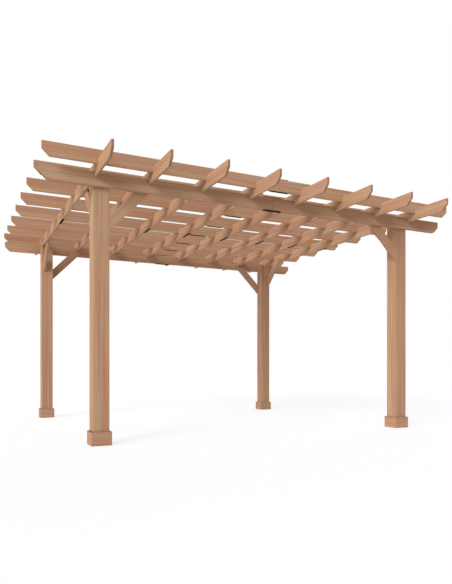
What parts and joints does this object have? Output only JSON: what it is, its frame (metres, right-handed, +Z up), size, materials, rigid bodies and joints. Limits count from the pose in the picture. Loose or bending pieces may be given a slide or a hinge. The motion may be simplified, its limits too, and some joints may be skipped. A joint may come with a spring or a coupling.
{
  "type": "timber pergola",
  "caption": "Free-standing timber pergola with square posts, knee braces, outer beams and a crossed roof of notched rafters and purlins with splice plates.",
  "frame": {"origin": "on the ground at the middle of the four posts", "axes": "+X along the beams to the right, +Y along the rafters to the back, +Z up"},
  "size_m": [4.375, 4.192, 2.455],
  "materials": {
    "cedar": "sawn, oiled, matt",
    "black_plate": "black powder coat, matt"
  },
  "bodies": {
    "root": {"front_left_post": "cedar", "front_right_post": "cedar", "back_left_post": "cedar", "back_right_post": "cedar", "front_left_plinth": "cedar", "front_right_plinth": "cedar", "back_left_plinth": "cedar", "back_right_plinth": "cedar", "front_beam": "cedar", "back_beam": "cedar", "rafter_1": "cedar", "rafter_2": "cedar", "rafter_3": "cedar", "rafter_4": "cedar", "rafter_5": "cedar", "rafter_6": "cedar", "rafter_7": "cedar", "rafter_8": "cedar", "purlin_1": "cedar", "purlin_2": "cedar", "purlin_3": "cedar", "purlin_4": "cedar", "purlin_5": "cedar", "purlin_6": "cedar", "purlin_7": "cedar", "purlin_8": "cedar", "front_left_beam_brace": "cedar", "front_right_beam_brace": "cedar", "back_left_beam_brace": "cedar", "back_right_beam_brace": "cedar", "front_left_rafter_brace": "cedar", "front_right_rafter_brace": "cedar", "back_left_rafter_brace": "cedar", "back_right_rafter_brace": "cedar", "beam_splice_plates": "black_plate", "rafter_splice_plates": "black_plate", "purlin_splice_plates": "black_plate"}
  },
  "joints": []
}
